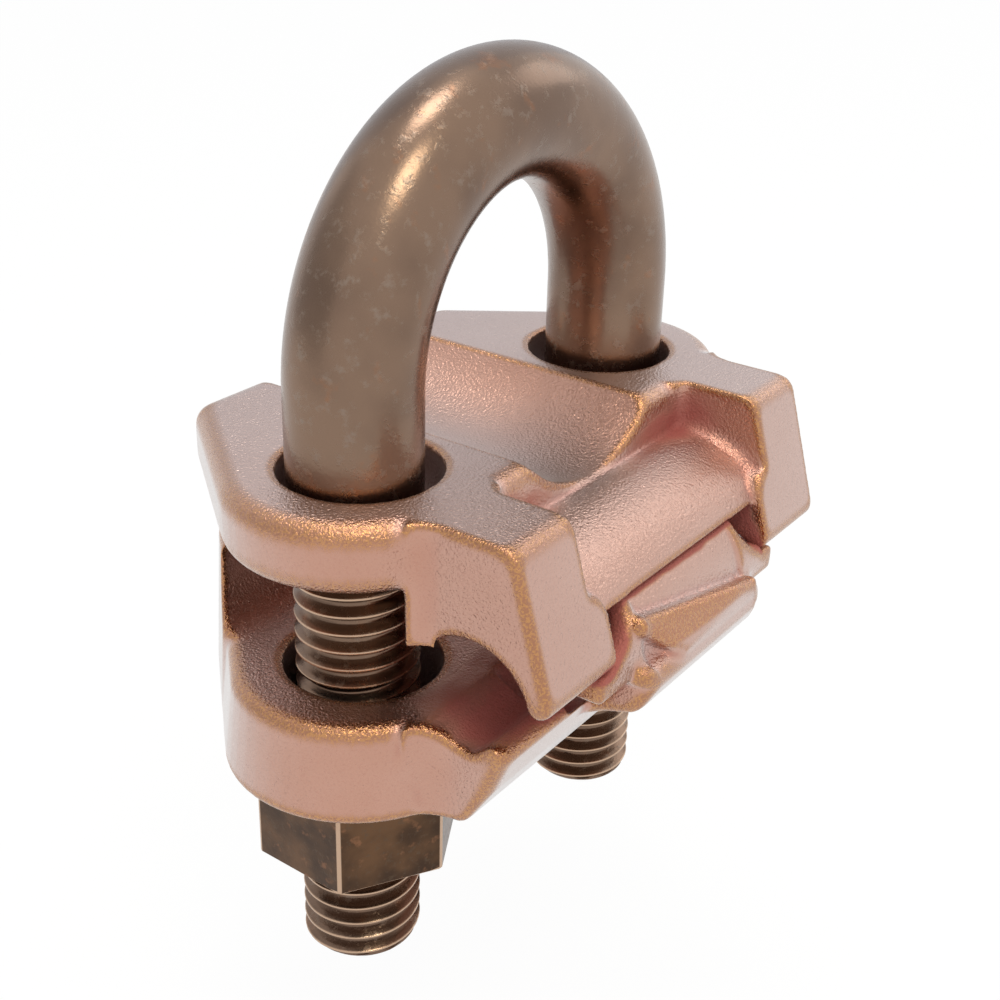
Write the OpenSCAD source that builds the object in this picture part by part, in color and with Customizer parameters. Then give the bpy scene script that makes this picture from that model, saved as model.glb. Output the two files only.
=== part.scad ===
// Mechanical grounding connector: a bronze U-bolt with two cast jaws drawn together by two hex nuts.
// A ground rod lies in the seat under the bend, and a cable lies in the jaw beside the legs.
// Frame: the legs stand along Z on the X axis, the rod runs along Y, the cable runs along X on the -Y side.
// The origin is midway between the legs, level with the saddle's top face.

/* [U-bolt] */
// diameter of the round bar
bar_d = 13.2; // [12.6:0.1:14]
// distance between the two legs, centre to centre
leg_spacing = 43.6; // [42:0.2:47]
// height of the bend's centre above the saddle's top face
bend_height = 7.9; // [5:0.1:14]
// length of the near leg below the saddle's top face
near_leg_length = 55; // [52:0.5:66]
// length of the far leg below the saddle's top face
far_leg_length = 57.6; // [52:0.5:66]
// outside diameter of the thread
thread_d = 12.5; // [11.8:0.1:12.6]
// depth below the saddle's top face at which the thread starts
thread_start = 6; // [3:0.5:10]
// bevel on the ends of the legs
leg_bevel = 0.8; // [0.4:0.1:1.5]

/* [Leg holes] */
// free space round the bar in the saddle's leg holes
saddle_hole_play = 1.4; // [1.1:0.1:2.2]
// free space round the bar in the keeper's leg holes
keeper_hole_play = 1.4; // [1.1:0.1:2.2]
// how far the holes lie inward of the legs
hole_inset = 0.8; // [0.2:0.1:0.9]

/* [Saddle] */
// thickness of the saddle's plate
plate_t = 7.2; // [6:0.1:8.4]
// radius of the saddle's round ends about each leg
saddle_lobe_r = 12.9; // [12:0.1:14]
// distance from the legs to the back edge
back_reach = 23.2; // [20:0.2:25]
// width of the back edge
back_width = 43; // [38:0.5:47]
// radius of the rod seat
seat_r = 14.6; // [12.5:0.1:17]
// depth of the rod seat below the saddle's top face
seat_depth = 5; // [3.5:0.1:5.8]
// rounding of the cast edges
edge_r = 2; // [1:0.1:2.8]
// depth of the block that carries the claws
block_depth = 12.7; // [11:0.1:13.6]
// distance from the legs to the back of that block
block_back = 9.6; // [9:0.1:10.6]

/* [Cable jaw] */
// distance from the legs to the cable's centre line
cable_y = 17.2; // [16.8:0.1:17.8]
// depth of the cable's centre line below the saddle's top face
cable_z = 17; // [16.6:0.05:17.3]
// radius of the keeper's trough
cable_r = 6.8; // [6.2:0.1:7.1]
// radius of the hollow through the claws' inner sides
throat_r = 4.9; // [4:0.1:5.6]
// radius of the hollow at the claws' outer ends, where it opens like a bell
mouth_r = 6.7; // [5.8:0.1:7]
// overall length of the saddle along the cable
jaw_length = 53.4; // [50:0.2:58]
// width of each claw above the cable
claw_w = 9.2; // [7:0.1:10]
// how far the claws widen inward beside the cable
claw_step = 2.3; // [1.2:0.1:2.8]
// depth at which the claws widen
claw_step_z = 7.6; // [7:0.1:8.6]
// reach of the claws' tips in front of the legs
claw_reach = 26; // [25.4:0.1:27]
// depth of the claws' tips below the saddle's top face
claw_drop = 15.8; // [15:0.1:16.6]
// rounding of the claws' tips
tip_r = 1.4; // [1:0.1:1.7]
// rounding of the claws' upper front edge
brow_r = 2; // [1:0.1:2.6]
// slope of the claws' front, measured from upright
claw_slope = 19; // [14:0.5:24]
// inside rounding where the claws grow out of the round ends
root_r = 3.5; // [2:0.1:5]
// inside rounding where the claws' inner sides meet the plate
inner_root = 1.5; // [0.8:0.1:3]
// radius of the bridge between the claws
bridge_r = 10.4; // [9.8:0.1:10.8]
// step from the rod seat's bottom down to the bridge's top
bridge_step = 0.2; // [0.1:0.1:0.6]
// depth of the bridge's lower front edge
bridge_drop = 10.7; // [10.2:0.1:11]
// size of the inside rounding between the bridge and the claws
collar = 1.7; // [1:0.1:2.6]
// rounding of the claws' lower back edge
block_edge = 1.6; // [0.8:0.1:2]
// inside rounding where the claws' backs meet the plate's underside
block_root = 1.4; // [0.8:0.1:2]

/* [Keeper] */
// depth of the keeper's floor below the saddle's top face
floor_z = 21.1; // [20.6:0.1:22]
// thickness of the keeper under the floor
floor_t = 10.3; // [9:0.1:12]
// how much wider the keeper's body is at its foot than at its floor
draft = 0.9; // [0:0.1:1.4]
// radius of the keeper's round ends about each leg
keeper_lobe_r = 12.8; // [12.4:0.1:14]
// distance from the legs to the keeper's back face
heel_reach = 22.6; // [20:0.2:25]
// width of the keeper's back face
heel_width = 39.6; // [36:0.5:44]
// thickness of the heel wall
heel_t = 4.9; // [3.5:0.1:6.5]
// height of the heel wall above the floor
heel_h = 7.2; // [5:0.1:8]
// inside rounding between floor and heel wall
heel_root = 6.8; // [3:0.1:7.1]
// rounding of the keeper's lower edge
foot_edge = 0.7; // [0.4:0.1:1.5]
// rounding of the keeper's edge round the floor
floor_edge = 1.5; // [0.6:0.1:2]
// rounding of the heel wall's upper edge
rim_edge = 0.8; // [0.4:0.1:1.5]
// length of the keeper's trough along the cable
trough_length = 52.2; // [50:0.2:54]
// reach of the trough's lip in front of the legs
lip_reach = 21.2; // [20.6:0.1:22]
// depth of the lip below the saddle's top face
lip_z = 21.3; // [21.2:0.1:22.4]
// rounding of the lip
lip_r = 1.9; // [1.2:0.1:2.2]
// radius of the groove behind the lip
groove_r = 2.9; // [2.4:0.1:3.4]
// depth of the groove's bottom below the saddle's top face
groove_z = 22.8; // [22.4:0.1:23.4]
// reach of the trough's foot, where its front meets the underside
foot_reach = 15.3; // [14:0.1:17]
// rounding of that foot
foot_r = 2; // [1:0.1:3]
// rounding of the trough's front corners, seen from above
trough_corner = 1.4; // [1:0.1:3]
// inside rounding where the trough's ends grow out of the round ends
trough_root = 6; // [3:0.1:6.4]
// rounding of the trough's lower corners
foot_corner = 1; // [0.8:0.1:1.8]
// width of the finger that rises between the claws
finger_w = 21.2; // [16:0.2:22.4]
// thickness of the finger
finger_t = 1.6; // [1.2:0.1:1.8]
// free space between the finger and the bridge's hollow
finger_play = 0.3; // [0.2:0.05:0.5]
// depth of the finger's tip below the saddle's top face
finger_tip = 11.1; // [10.9:0.05:12]
// inside rounding of the finger's two sides, where they flare toward the trough
finger_root = 5.2; // [4.4:0.1:6]
// free space between that flare and the claws' inner sides
flare_play = 0.3; // [0.2:0.05:0.8]
// how far the flare's foot lies above the claws' tips
flare_lift = 0.4; // [0:0.1:0.8]
// reach of the flare's two ears under the claws' tips
ear_reach = 2; // [1:0.1:3]
// free space between the ears and the claws' tips
ear_play = 0.35; // [0.3:0.05:0.6]
// height of the ears
ear_h = 2.4; // [2.1:0.1:3]
// rounding of the ears' lower corners
ear_r = 1.9; // [0.8:0.1:2]
// reach of the shelf in front of the finger
shelf_reach = 27.8; // [27:0.1:28.6]
// width of the shelf
shelf_w = 23.4; // [20:0.2:26]
// depth of the shelf's inner side below the saddle's top face
shelf_z = 16.6; // [16.2:0.1:17.6]
// rounding of the shelf's front edge
shelf_edge = 1.6; // [1:0.1:1.9]
// rounding of the shelf's two ends, seen from above
shelf_corner = 2; // [1.2:0.1:3]
// rounding of the shelf's belly
belly_r = 2.6; // [1.8:0.1:3]
// how far the belly's middle lies behind that of the front edge
belly_back = 1.6; // [1.2:0.1:2.4]
// how far the belly's middle lies below that of the front edge
belly_low = 1; // [0.8:0.1:2]
// depth of the shelf's root on the trough, below the shelf's inner side
shelf_drop = 8.8; // [8:0.1:11]
// length of the fin on the shelf
fin_l = 17; // [13:0.2:19]
// rise of the fin's nose above the shelf
fin_rise = 3.2; // [2:0.1:3.6]
// how far the fin's nose leans out over its foot
fin_lean = 5.6; // [3:0.1:6]
// rise of the fin's crest at the shelf's front edge
fin_crest = 0.3; // [0:0.1:0.8]
// rounding of the fin
fin_r = 0.9; // [0.6:0.05:1.1]

/* [Nuts] */
// width of the nuts across their flats
nut_af = 19; // [18:0.1:21]
// height of the nuts
nut_h = 10.7; // [9:0.1:12]
// free space between the thread and the nut's bore
thread_play = 0.06; // [0.03:0.01:0.1]
// turn of the nuts' corners about their legs
nut_turn = 29; // [0:1:59]
// free space between the keeper and the nuts
nut_seat_play = 0.05; // [0.02:0.01:0.2]
// bevel on the nuts' corners
nut_bevel = 0.35; // [0.2:0.05:0.8]

/* [Hidden] */
$fn = 96;
eps = 0.01;
bar_r = bar_d / 2;
thread_r = thread_d / 2;
stud_r = max(bar_r, thread_r);
leg_x = leg_spacing / 2;
hole_x = leg_x - hole_inset;
saddle_hole_r = stud_r + saddle_hole_play;
keeper_hole_r = stud_r + keeper_hole_play;
claw_out = jaw_length / 2;
claw_in = claw_out - claw_w;
claw_low = claw_in - claw_step;
keeper_base = floor_z + floor_t;
heel_top = floor_z - heel_h;
nut_top = keeper_base + nut_seat_play;
corner_r = edge_r + 0.6;
bridge_z = seat_depth + bridge_step + bridge_r;
bridge_y = cable_y - 2.3;
finger_r = cable_r + finger_t;
hollow_r = finger_r + finger_play;
shelf_fall = 1;
groove_y = -lip_reach + lip_r + groove_r;
flare_x = claw_low - flare_play;
flare_z = claw_drop - flare_lift;
ear_x = claw_low + ear_reach;
ear_top = claw_drop + ear_play;
ear_z = ear_top + ear_h;
flare_c = finger_w / 2 + finger_root;

// unit normal at the contacts of the outer tangent of two circles, s = 1 left of the way, -1 right of it
function tangent_normal(c1, r1, c2, r2, s) =
    let (d = c2 - c1, a = atan2(d[1], d[0]) + s * acos((r1 - r2) / norm(d)))
    [cos(a), sin(a)];

// a disc with a rounded rim, the corner piece of both castings' bodies; w widens its foot
module rounded_disc(r, z0, z1, e0, e1, w) {
    rotate_extrude($fn = 48)
        intersection() {
            union() {
                polygon([
                    [0, z0],
                    [r + w - e0, z0],
                    [r + w, z0 + e0],
                    [r, z1 - e1],
                    [r - e1, z1],
                    [0, z1]
                ]);
                translate([r + w - e0, z0 + e0]) circle(e0, $fn = 32);
                translate([r - e1, z1 - e1]) circle(e1, $fn = 32);
            }
            translate([0, z0 - 1]) square([r + w + 1, z1 - z0 + 2]);
        }
}

// the body that both castings share: round ends about the legs and a narrower straight back
module cast_body(lobe, width, reach, z0, z1, e0, e1, w) {
    hull() {
        for (s = [-1, 1]) {
            translate([s * leg_x, 0, 0]) rounded_disc(lobe, z0, z1, e0, e1, w);
            translate([s * (width / 2 - corner_r), reach - corner_r, 0])
                rounded_disc(corner_r, z0, z1, e0, e1, w);
        }
    }
}

// turns a drawing of a cross-section, Y across and Z up, into a bar along X
module along_x(x0, x1) {
    translate([x0, 0, 0])
        rotate([90, 0, 90])
        linear_extrude(x1 - x0) children();
}

module leg_holes(r, z0, z1) {
    for (s = [-1, 1])
        translate([s * hole_x, 0, z0]) cylinder(r = r, h = z1 - z0);
}

// one leg of the bar, smooth above and threaded below, with a bevelled end
module leg(x, depth) {
    translate([x, 0, 0])
        rotate_extrude()
        polygon([
            [0, bend_height],
            [bar_r, bend_height],
            [bar_r, -thread_start],
            [thread_r, -thread_start - abs(bar_r - thread_r)],
            [thread_r, -depth + leg_bevel],
            [thread_r - leg_bevel, -depth],
            [0, -depth]
        ]);
}

module u_bolt() {
    color([0.45, 0.36, 0.28]) {
        translate([0, 0, bend_height])
            rotate([90, 0, 0])
            rotate_extrude(angle = 180)
            translate([leg_x, 0]) circle(bar_r);
        leg(-leg_x, near_leg_length);
        leg(leg_x, far_leg_length);
    }
}

// the cable's hollow, drawn in cross-section
module cable_circle(r) {
    translate([-cable_y, -cable_z]) circle(r);
}

// cross-section of a claw: flat top, sloping front and round tip
module claw_section() {
    tip = [-claw_reach + tip_r, -claw_drop + tip_r];
    brow = [tip[0] + (claw_drop - tip_r - brow_r) * tan(claw_slope), -brow_r];
    n = tangent_normal(brow, brow_r, tip, tip_r, -1);
    polygon([
        [-block_back, 0],
        [-block_back, -block_depth],
        [-cable_y, -block_depth],
        [tip[0], -claw_drop],
        tip,
        tip + tip_r * n,
        brow + brow_r * n,
        brow,
        [brow[0], 0]
    ]);
    translate(brow) circle(brow_r);
    translate(tip) circle(tip_r);
}

// the part of that cross-section below a given depth
module claw_section_below(z) {
    intersection() {
        claw_section();
        translate([-2 * claw_reach, -2 * claw_drop]) square([2 * claw_reach, 2 * claw_drop - z]);
    }
}

// the claws' inner step seen from the front: a round shoulder, then a straight side
module step_front() {
    translate([claw_low, -2 * claw_drop]) square([claw_step + 1, 2 * claw_drop - claw_step_z - claw_step]);
    translate([claw_in, -claw_step_z - claw_step]) circle(claw_step);
}

// cross-section of the bridge: a barrel-shaped roof that covers the keeper's finger
module bridge_section() {
    intersection() {
        translate([-bridge_y, -bridge_z]) circle(bridge_r);
        translate([-bridge_y - bridge_r - 1, -bridge_drop])
            square([bridge_r + 1 + bridge_y - block_back - 1, bridge_drop]);
    }
}

// the inside rounding between the bridge and the claws, kept within the claws' outline
module bridge_collars() {
    intersection() {
        along_x(-claw_in - eps, claw_in + eps)
            difference() {
                claw_section();
                cable_circle(hollow_r);
            }
        for (s = [-1, 1])
            mirror([s < 0 ? 1 : 0, 0, 0])
                translate([claw_in - collar, -bridge_y, -bridge_z])
                rotate([0, 90, 0])
                rotate_extrude()
                difference() {
                    translate([bridge_r - 1, 0]) square([collar + 1, collar + eps]);
                    translate([bridge_r + collar - eps, eps]) circle(collar);
                }
        translate([-claw_out, -2 * claw_reach, -claw_step_z])
            cube([2 * claw_out, 2 * claw_reach - saddle_lobe_r + 1, claw_step_z]);
    }
}

// what the rounding takes off the claws' lower back edge, drawn in cross-section
module block_edge_cut() {
    difference() {
        translate([-block_back - block_edge, -block_depth - 1]) square(block_edge + 1);
        translate([-block_back - block_edge, -block_depth + block_edge]) circle(block_edge);
        translate([-block_back - block_edge - 1, -block_depth + block_edge]) square(2 * block_edge + 2);
    }
}

// the inside rounding between the claws' backs and the plate's underside, drawn in cross-section
module block_root_fill() {
    difference() {
        translate([-block_back - 1, -plate_t - block_root]) square([block_root + 1, block_root + 1]);
        translate([-block_back + block_root, -plate_t - block_root]) circle(block_root);
    }
}

// an inside rounding between a casting's round end and a straight side at x, going toward the front
module lobe_root(lobe, x, r) {
    cx = x + r;
    cy = -sqrt(pow(lobe + r, 2) - pow(cx - leg_x, 2));
    k = lobe / (lobe + r);
    difference() {
        polygon([
            [leg_x, -block_back],
            [leg_x + (cx - leg_x) * k, cy * k],
            [cx, cy],
            [x, cy],
            [leg_x, cy]
        ]);
        translate([cx, cy]) circle(r);
    }
}

// plan of the claw side: straight ends that flow into the round ends and the plate's front
module claw_plan() {
    for (s = [-1, 1])
        mirror([s < 0 ? 1 : 0, 0]) {
            translate([claw_in, -claw_reach - 1]) square([claw_w, claw_reach + 1 - block_back]);
            lobe_root(saddle_lobe_r, claw_out, root_r);
            difference() {
                translate([claw_in - inner_root, -saddle_lobe_r - inner_root])
                    square([inner_root + eps, inner_root + 2]);
                translate([claw_in - inner_root, -saddle_lobe_r - inner_root]) circle(inner_root);
            }
        }
}

// the cable's way through the claws: a throat that opens like a bell at both ends
module cable_bell() {
    for (s = [-1, 1])
        mirror([s < 0 ? 1 : 0, 0, 0])
            translate([claw_low - 1, -cable_y, -cable_z])
            rotate([0, 90, 0]) {
                cylinder(r = throat_r, h = claw_step + 1);
                translate([0, 0, claw_step + 1 - eps])
                    cylinder(r1 = throat_r, r2 = mouth_r, h = claw_w + 2 * eps);
            }
}

module saddle() {
    color([0.78, 0.52, 0.43])
        difference() {
            union() {
                cast_body(saddle_lobe_r, back_width, back_reach, -plate_t, 0, edge_r, edge_r, 0);
                intersection() {
                    along_x(-claw_out - root_r, claw_out + root_r) claw_section();
                    translate([0, 0, -claw_drop - 1]) linear_extrude(claw_drop + 2) claw_plan();
                }
                for (s = [-1, 1])
                    mirror([s < 0 ? 1 : 0, 0, 0])
                        intersection() {
                            along_x(claw_low, claw_in + eps) claw_section_below(claw_step_z);
                            rotate([90, 0, 0]) linear_extrude(2 * claw_reach) step_front();
                        }
                difference() {
                    along_x(-claw_in - eps, claw_in + eps) bridge_section();
                    along_x(-claw_low, claw_low) cable_circle(hollow_r);
                }
                bridge_collars();
                along_x(-claw_out, claw_out) block_root_fill();
                along_x(-claw_low - eps, claw_low + eps)
                    difference() {
                        translate([-cable_y, -block_depth])
                            square([cable_y - block_back, block_depth - bridge_z + bridge_r - 0.5]);
                        cable_circle(hollow_r);
                    }
            }
            translate([0, -saddle_lobe_r - 0.5, seat_r - seat_depth])
                rotate([-90, 0, 0]) cylinder(r = seat_r, h = saddle_lobe_r + 2 * back_reach);
            cable_bell();
            along_x(-claw_out - root_r - 1, claw_out + root_r + 1) block_edge_cut();
            leg_holes(saddle_hole_r, -claw_drop, 5);
        }
}

// cross-section of the keeper's trough with its low lip
module trough_section() {
    foot = [-foot_reach, -keeper_base + foot_r];
    lip = [-lip_reach + lip_r, -lip_z - lip_r];
    n = tangent_normal(lip, lip_r, foot, foot_r, -1);
    polygon([
        [-block_back, -floor_z],
        [-block_back, -keeper_base],
        [foot[0], -keeper_base],
        foot,
        foot + foot_r * n,
        lip + lip_r * n,
        lip,
        [groove_y, -groove_z],
        [-block_back - 2.5, -floor_z]
    ]);
    translate(foot) circle(foot_r);
    translate(lip) circle(lip_r);
}

// the groove behind the lip, drawn in cross-section
module groove_section() {
    translate([groove_y, -groove_z + groove_r]) circle(groove_r);
}

// the outer form of the trough: a bar whose front leans out and whose ends are rounded
module trough_form() {
    r = trough_corner;
    x = trough_length / 2 - r;
    hull()
        for (s = [-1, 1]) {
            translate([s * x, -lip_reach + r, -lip_z - 1]) cylinder(r = r, h = 3, $fn = 48);
            translate([s * (x + r - foot_corner), -foot_reach - foot_r + foot_corner, -keeper_base])
                cylinder(r = foot_corner, h = 1, $fn = 48);
            translate([s * (x + r - 1), -block_back, -keeper_base]) cylinder(r = 1, h = floor_t, $fn = 24);
        }
}

// the inside roundings between the trough's ends and the round ends about the legs
module trough_roots() {
    for (s = [-1, 1])
        mirror([s < 0 ? 1 : 0, 0])
            lobe_root(keeper_lobe_r + draft / 2, trough_length / 2, trough_root);
}

// cross-section of the shelf: a ledge on the trough's front with a round edge and a round belly
module shelf_section() {
    edge = [-shelf_reach + shelf_edge, -shelf_z - shelf_edge - shelf_fall];
    belly = edge + [belly_back, -belly_low];
    root = [-foot_reach - foot_r, -shelf_z - shelf_drop];
    front_n = tangent_normal(edge, shelf_edge, belly, belly_r, -1);
    under_n = tangent_normal(belly, belly_r, root, 0, -1);
    polygon([
        [-cable_y, -shelf_z],
        [-cable_y, root[1]],
        root,
        belly + belly_r * under_n,
        belly,
        belly + belly_r * front_n,
        edge + shelf_edge * front_n,
        edge,
        [edge[0], edge[1] + shelf_edge],
        [-cable_y - finger_r, -shelf_z]
    ]);
    translate(belly) circle(belly_r);
    translate(edge) circle(shelf_edge);
}

// the finger seen from the front: a straight tongue on a wider root with two ears
module finger_front() {
    translate([-shelf_w / 2, -keeper_base]) square([shelf_w, keeper_base - shelf_z]);
    difference() {
        translate([-flare_x, -ear_z]) square([2 * flare_x, ear_z - finger_tip]);
        for (s = [-1, 1])
            translate([s * flare_c, -flare_z + finger_root]) {
                circle(finger_root);
                translate([-finger_root, 0]) square([2 * finger_root, flare_z]);
            }
    }
    intersection() {
        translate([-ear_x, -ear_z]) square([2 * ear_x, ear_h]);
        for (s = [-1, 1])
            translate([s * (ear_x - ear_r), -ear_z + ear_r]) {
                circle(ear_r);
                translate([s < 0 ? -ear_r : -2 * ear_x, 0]) square([2 * ear_x + ear_r, ear_h]);
                translate([s < 0 ? 0 : -2 * ear_x, -ear_r]) square([2 * ear_x, ear_h]);
            }
    }
}

// the shelf seen from above: a bar with two round front corners
module shelf_plan() {
    x = shelf_w / 2 - shelf_corner;
    y = -shelf_reach + shelf_corner;
    translate([-shelf_w / 2, y]) square([shelf_w, -cable_y - y]);
    translate([-x, -shelf_reach]) square([2 * x, shelf_corner + 1]);
    for (s = [-1, 1])
        translate([s * x, y]) circle(shelf_corner);
}

// cross-section of the finger: a band bent round the cable, from the trough up to its tip
module finger_section() {
    intersection() {
        cable_circle(finger_r);
        translate([-cable_y - finger_r - 1, -keeper_base])
            square([finger_r + 1 - 1.5, keeper_base - finger_tip]);
    }
}

// the fin on the shelf: its nose leans toward the near claw, and its crest falls away to the front edge
module fin() {
    y0 = -cable_y - finger_r + 0.4;
    y1 = -shelf_reach + fin_r;
    z0 = -shelf_z - shelf_fall - fin_r + 0.6;
    x0 = -fin_l * 0.6;
    x1 = fin_l * 0.35;
    x2 = shelf_w / 2 - shelf_corner;
    hull() {
        translate([x0, y0, -shelf_z + fin_rise]) sphere(fin_r, $fn = 20);
        translate([x1, y1, -shelf_z + fin_crest]) sphere(fin_r, $fn = 20);
        translate([x2, y1, -shelf_z + fin_crest - fin_r]) sphere(fin_r, $fn = 20);
        for (y = [y0, y1]) {
            translate([x0 + fin_lean, y, z0]) sphere(fin_r, $fn = 20);
            translate([x2, y, z0]) sphere(fin_r, $fn = 20);
        }
    }
}

// the heel wall along the back, with an inside rounding up from the floor
module heel_section() {
    y0 = heel_reach - heel_t - heel_root;
    difference() {
        translate([y0, -keeper_base]) square([heel_t + heel_root + 1, floor_t + heel_h + 1]);
        translate([y0, -floor_z + heel_root]) circle(heel_root);
        translate([y0 - 1, -floor_z + heel_root]) square([heel_root + 1, heel_h + 2]);
    }
}

module keeper() {
    color([0.76, 0.50, 0.42])
        difference() {
            union() {
                cast_body(keeper_lobe_r, heel_width, heel_reach, -keeper_base, -floor_z,
                    foot_edge, floor_edge, draft);
                intersection() {
                    cast_body(keeper_lobe_r, heel_width, heel_reach, -keeper_base, -heel_top,
                        foot_edge, rim_edge, draft);
                    along_x(-claw_out, claw_out) heel_section();
                }
                intersection() {
                    along_x(-trough_length / 2 - trough_root, trough_length / 2 + trough_root)
                        trough_section();
                    union() {
                        trough_form();
                        translate([0, 0, -keeper_base]) linear_extrude(floor_t) trough_roots();
                    }
                }
                intersection() {
                    along_x(-shelf_w / 2, shelf_w / 2) shelf_section();
                    translate([0, 0, -keeper_base]) linear_extrude(keeper_base) shelf_plan();
                }
                intersection() {
                    along_x(-ear_x, ear_x) finger_section();
                    rotate([90, 0, 0]) linear_extrude(2 * shelf_reach) finger_front();
                }
                fin();
            }
            along_x(-trough_length, trough_length) groove_section();
            along_x(-claw_low, claw_low) cable_circle(cable_r);
            leg_holes(keeper_hole_r, -keeper_base - 5, 0);
        }
}

// a plain hex nut with bevelled corners, seated under the keeper
module hex_nut(x) {
    color([0.36, 0.28, 0.21])
        translate([x, 0, -nut_top - nut_h])
        difference() {
            intersection() {
                rotate([0, 0, nut_turn]) cylinder(r = nut_af / sqrt(3), h = nut_h, $fn = 6);
                cylinder(r = nut_af / sqrt(3) - nut_bevel, h = nut_h);
            }
            translate([0, 0, -1]) cylinder(r = thread_r + thread_play, h = nut_h + 2);
        }
}

module nut_near() {
    hex_nut(-leg_x);
}

module nut_far() {
    hex_nut(leg_x);
}

u_bolt();
saddle();
keeper();
nut_near();
nut_far();
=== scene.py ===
# %% [markdown]
# This lesson dresses a bronze grounding connector: a round bar bent into a U, two sand-cast jaws
# that slide on its legs, and two hex nuts that draw the jaws together on a ground rod and a cable.
# The solids come from the imported model, which fixes every place and size. We load it first and keep
# its box, which sets the height of the floor.

import math

import bpy
import numpy as np
from mathutils import Matrix, Vector
from mathutils.bvhtree import BVHTree


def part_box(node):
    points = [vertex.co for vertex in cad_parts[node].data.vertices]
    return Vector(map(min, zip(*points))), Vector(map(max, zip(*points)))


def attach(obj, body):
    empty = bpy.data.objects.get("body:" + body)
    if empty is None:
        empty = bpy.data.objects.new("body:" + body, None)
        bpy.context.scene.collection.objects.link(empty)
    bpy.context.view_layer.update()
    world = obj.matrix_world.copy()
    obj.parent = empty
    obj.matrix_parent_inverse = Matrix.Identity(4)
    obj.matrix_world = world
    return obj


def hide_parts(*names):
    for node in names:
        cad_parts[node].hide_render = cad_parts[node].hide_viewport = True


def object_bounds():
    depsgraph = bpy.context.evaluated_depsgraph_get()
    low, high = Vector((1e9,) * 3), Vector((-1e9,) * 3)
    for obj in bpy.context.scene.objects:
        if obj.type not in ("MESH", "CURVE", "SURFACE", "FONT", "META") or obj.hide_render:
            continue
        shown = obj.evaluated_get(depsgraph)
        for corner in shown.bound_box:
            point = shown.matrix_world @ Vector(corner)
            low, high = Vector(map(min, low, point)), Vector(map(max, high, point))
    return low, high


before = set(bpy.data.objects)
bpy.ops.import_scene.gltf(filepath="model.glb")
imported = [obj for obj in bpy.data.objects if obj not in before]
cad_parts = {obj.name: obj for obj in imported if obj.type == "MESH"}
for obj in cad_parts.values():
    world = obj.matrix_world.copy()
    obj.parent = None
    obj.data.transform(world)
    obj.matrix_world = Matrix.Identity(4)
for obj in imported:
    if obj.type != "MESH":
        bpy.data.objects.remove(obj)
cad_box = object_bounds()
MM = 0.001

# %% [markdown]
# The camera stands where the photographer stood. Its place and lens were fitted to the straight legs
# and the round bend, which give the direction of both axes and the depth. Writing the three axes of
# the camera as columns of a matrix is clearer than angles, because the small roll is then one turn of
# two of those columns.

# %% Camera
CAMERA_AZIMUTH = -55.021
CAMERA_ELEVATION = 26.052
CAMERA_ROLL = math.radians(-1.663)
CAMERA_PLACE = Vector((-119.31, -84.98, 59.89)) * MM
CAMERA_LENS = 54.286
SENSOR_WIDTH = 36
NEAREST, FARTHEST = 0.005, 20


def direction(azimuth, elevation):
    """A step of length 1 from the part toward where a camera, lamp or card stands."""
    a, e = math.radians(azimuth), math.radians(elevation)
    return Vector((math.sin(a) * math.cos(e), -math.cos(a) * math.cos(e), math.sin(e)))


def make_camera():
    back = direction(CAMERA_AZIMUTH, CAMERA_ELEVATION)
    side = Vector((0, 0, 1)).cross(back).normalized()
    up = back.cross(side)
    right = side * math.cos(CAMERA_ROLL) - up * math.sin(CAMERA_ROLL)
    top = side * math.sin(CAMERA_ROLL) + up * math.cos(CAMERA_ROLL)
    data = bpy.data.cameras.new("photo_camera")
    data.sensor_width = SENSOR_WIDTH
    data.lens = CAMERA_LENS
    data.clip_start, data.clip_end = NEAREST, FARTHEST
    camera = bpy.data.objects.new("photo_camera", data)
    camera.matrix_world = Matrix((
        (right.x, top.x, back.x, CAMERA_PLACE.x),
        (right.y, top.y, back.y, CAMERA_PLACE.y),
        (right.z, top.z, back.z, CAMERA_PLACE.z),
        (0, 0, 0, 1),
    ))
    bpy.context.scene.collection.objects.link(camera)
    bpy.context.scene.camera = camera
    return camera


bpy.context.scene.view_settings.view_transform = "Standard"
print("camera at", make_camera().matrix_world.translation)

# %% [markdown]
# A finish is a small graph of nodes, and sums are easier to read as Python than as boxes and wires.
# This class holds one socket. Adding or multiplying two of them makes the Math node for it, also when
# a plain number stands on the left. One method makes every other node: its settings come first, and
# then the values or the links of its sockets.

# %% Sums on sockets


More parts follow.
